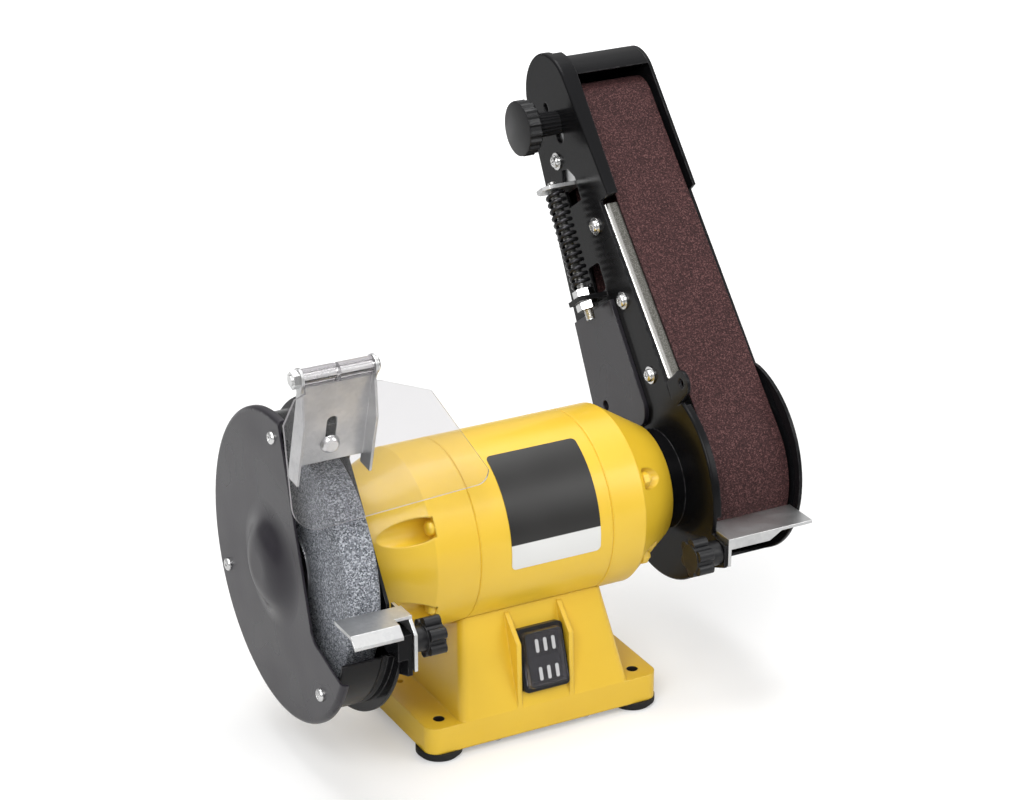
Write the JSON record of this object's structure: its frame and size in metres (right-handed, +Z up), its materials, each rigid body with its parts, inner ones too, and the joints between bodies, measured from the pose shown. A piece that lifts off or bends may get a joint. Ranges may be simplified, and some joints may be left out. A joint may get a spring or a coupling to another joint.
{
  "type": "bench grinder with belt sander",
  "caption": "Bench motor with a guarded grinding wheel on one shaft end and a tilting belt-sander arm on the other, with rests, eye shield and rocker switch.",
  "frame": {"origin": "centre of the four bench bolt holes, on the bench", "axes": "+X along the motor shaft towards the belt, -Y towards the user, +Z up"},
  "size_m": [0.3444, 0.2804, 0.3545],
  "materials": {
    "yellow_paint": "warm yellow paint, satin",
    "grey_paint": "charcoal paint, satin",
    "black_paint": "black paint, gloss",
    "zinc": "zinc plated sheet, satin",
    "screws": "zinc plated, bright",
    "steel": "bare steel",
    "spring_steel": "blackened spring steel",
    "copper": "lacquered copper wire",
    "bronze": "sintered bronze",
    "alloy": "machined",
    "stone": "bonded grey abrasive, rough",
    "abrasive": "red-brown abrasive on cloth",
    "black_plastic": "moulded, satin",
    "clear_plastic": "clear moulded sheet",
    "foot_rubber": "matt"
  },
  "bodies": {
    "housing": {"base_casting": "yellow_paint", "base_plate": "zinc", "rubber_feet": "foot_rubber", "base_screws": "screws", "saddle_screws": "screws", "cable_gland": "black_plastic", "capacitor": "black_plastic", "switch_bezel": "black_plastic", "switch_boot": "clear_plastic", "motor_shell": "yellow_paint", "left_end_bell": "yellow_paint", "right_end_bell": "yellow_paint", "housing_bolts": "yellow_paint", "stator_core": "steel", "stator_windings": "copper", "bearings": "steel", "guard_drum": "black_paint", "guard_cover": "grey_paint", "cover_screws": "screws", "guard_screws": "screws", "bracket_bolt": "screws", "wheel_rest_arm": "black_paint"},
    "rotor": {"rotor_shaft": "steel", "rotor_core": "steel", "inner_flange": "steel", "grinding_wheel": "stone", "outer_flange": "steel", "wheel_nut": "screws", "drive_wheel": "alloy", "drive_nut": "screws"},
    "arm": {"belt_frame": "black_paint", "belt_hood": "black_paint", "frame_stiffener": "grey_paint", "side_cover": "black_paint", "side_cover_screws": "screws", "platen": "zinc", "platen_screws": "screws", "sanding_belt": "abrasive", "tension_rod": "screws", "tension_nuts": "screws", "tension_spring": "spring_steel", "arm_clamp_screw": "screws", "guide_screw": "screws"},
    "carrier": {"idler_carrier": "black_paint", "idler_axle": "steel"},
    "idler": {"idler_wheel": "alloy", "idler_bushes": "bronze"},
    "tracking_knob": {"tracking_knob": "black_plastic"},
    "bracket": {"shield_bracket": "zinc", "hinge_bolt": "screws"},
    "shield": {"eye_shield": "clear_plastic"},
    "wheel_rest": {"wheel_rest": "zinc"},
    "wheel_rest_knob": {"wheel_rest_knob": "black_plastic"},
    "belt_rest": {"belt_rest": "zinc"},
    "belt_rest_knob": {"belt_rest_knob": "black_plastic"},
    "rocker": {"switch_rocker": "black_plastic"}
  },
  "joints": [
    {"name": "shaft_spin", "type": "hinge", "parent": "housing", "child": "rotor", "pos_m": [0, 0, 0.124], "axis": [1, 0, 0], "continuous": true},
    {"name": "arm_tilt", "type": "hinge", "parent": "housing", "child": "arm", "pos_m": [0, 0, 0.124], "axis": [1, 0, 0], "range_deg": [-55, 35]},
    {"name": "tension_slide", "type": "slide", "parent": "arm", "child": "carrier", "axis": [0, 0.5779, 0.8161], "range_m": [-0.009, 0], "stiffness_N_per_m": 2000, "springref_m": 0.015, "deforming": ["tension_spring"]},
    {"name": "idler_spin", "type": "hinge", "parent": "carrier", "child": "idler", "pos_m": [0.145, 0.13684, 0.31726], "axis": [1, 0, 0], "continuous": true},
    {"name": "tracking_turn", "type": "hinge", "parent": "carrier", "child": "tracking_knob", "pos_m": [0.09, 0.13453, 0.314], "axis": [1, 0, 0], "range_deg": [-180, 180]},
    {"name": "shield_adjust", "type": "slide", "parent": "housing", "child": "bracket", "axis": [0, -0.2756, 0.9613], "range_m": [-0.004, 0]},
    {"name": "shield_hinge", "type": "hinge", "parent": "bracket", "child": "shield", "pos_m": [-0.132, -0.05351, 0.2626], "axis": [1, 0, 0], "range_deg": [-80, 5]},
    {"name": "wheel_rest_slide", "type": "slide", "parent": "housing", "child": "wheel_rest", "axis": [0, 1, 0], "range_m": [-0.012, 0.0015]},
    {"name": "wheel_rest_knob_turn", "type": "hinge", "parent": "housing", "child": "wheel_rest_knob", "pos_m": [-0.1, -0.088, 0.106], "axis": [1, 0, 0], "range_deg": [0, 360]},
    {"name": "belt_rest_slide", "type": "slide", "parent": "arm", "child": "belt_rest", "axis": [0, -1, 0], "range_m": [0, 0.009]},
    {"name": "belt_rest_knob_turn", "type": "hinge", "parent": "arm", "child": "belt_rest_knob", "pos_m": [0.1, -0.069, 0.1035], "axis": [1, 0, 0], "range_deg": [0, 360]},
    {"name": "switch_rock", "type": "hinge", "parent": "housing", "child": "rocker", "pos_m": [0, -0.04523, 0.0495], "axis": [1, 0, 0], "range_deg": [0, 14]}
  ],
  "couplings": [
    {"joint": "idler_spin", "follows": "shaft_spin", "ratio": 3.0312}
  ]
}
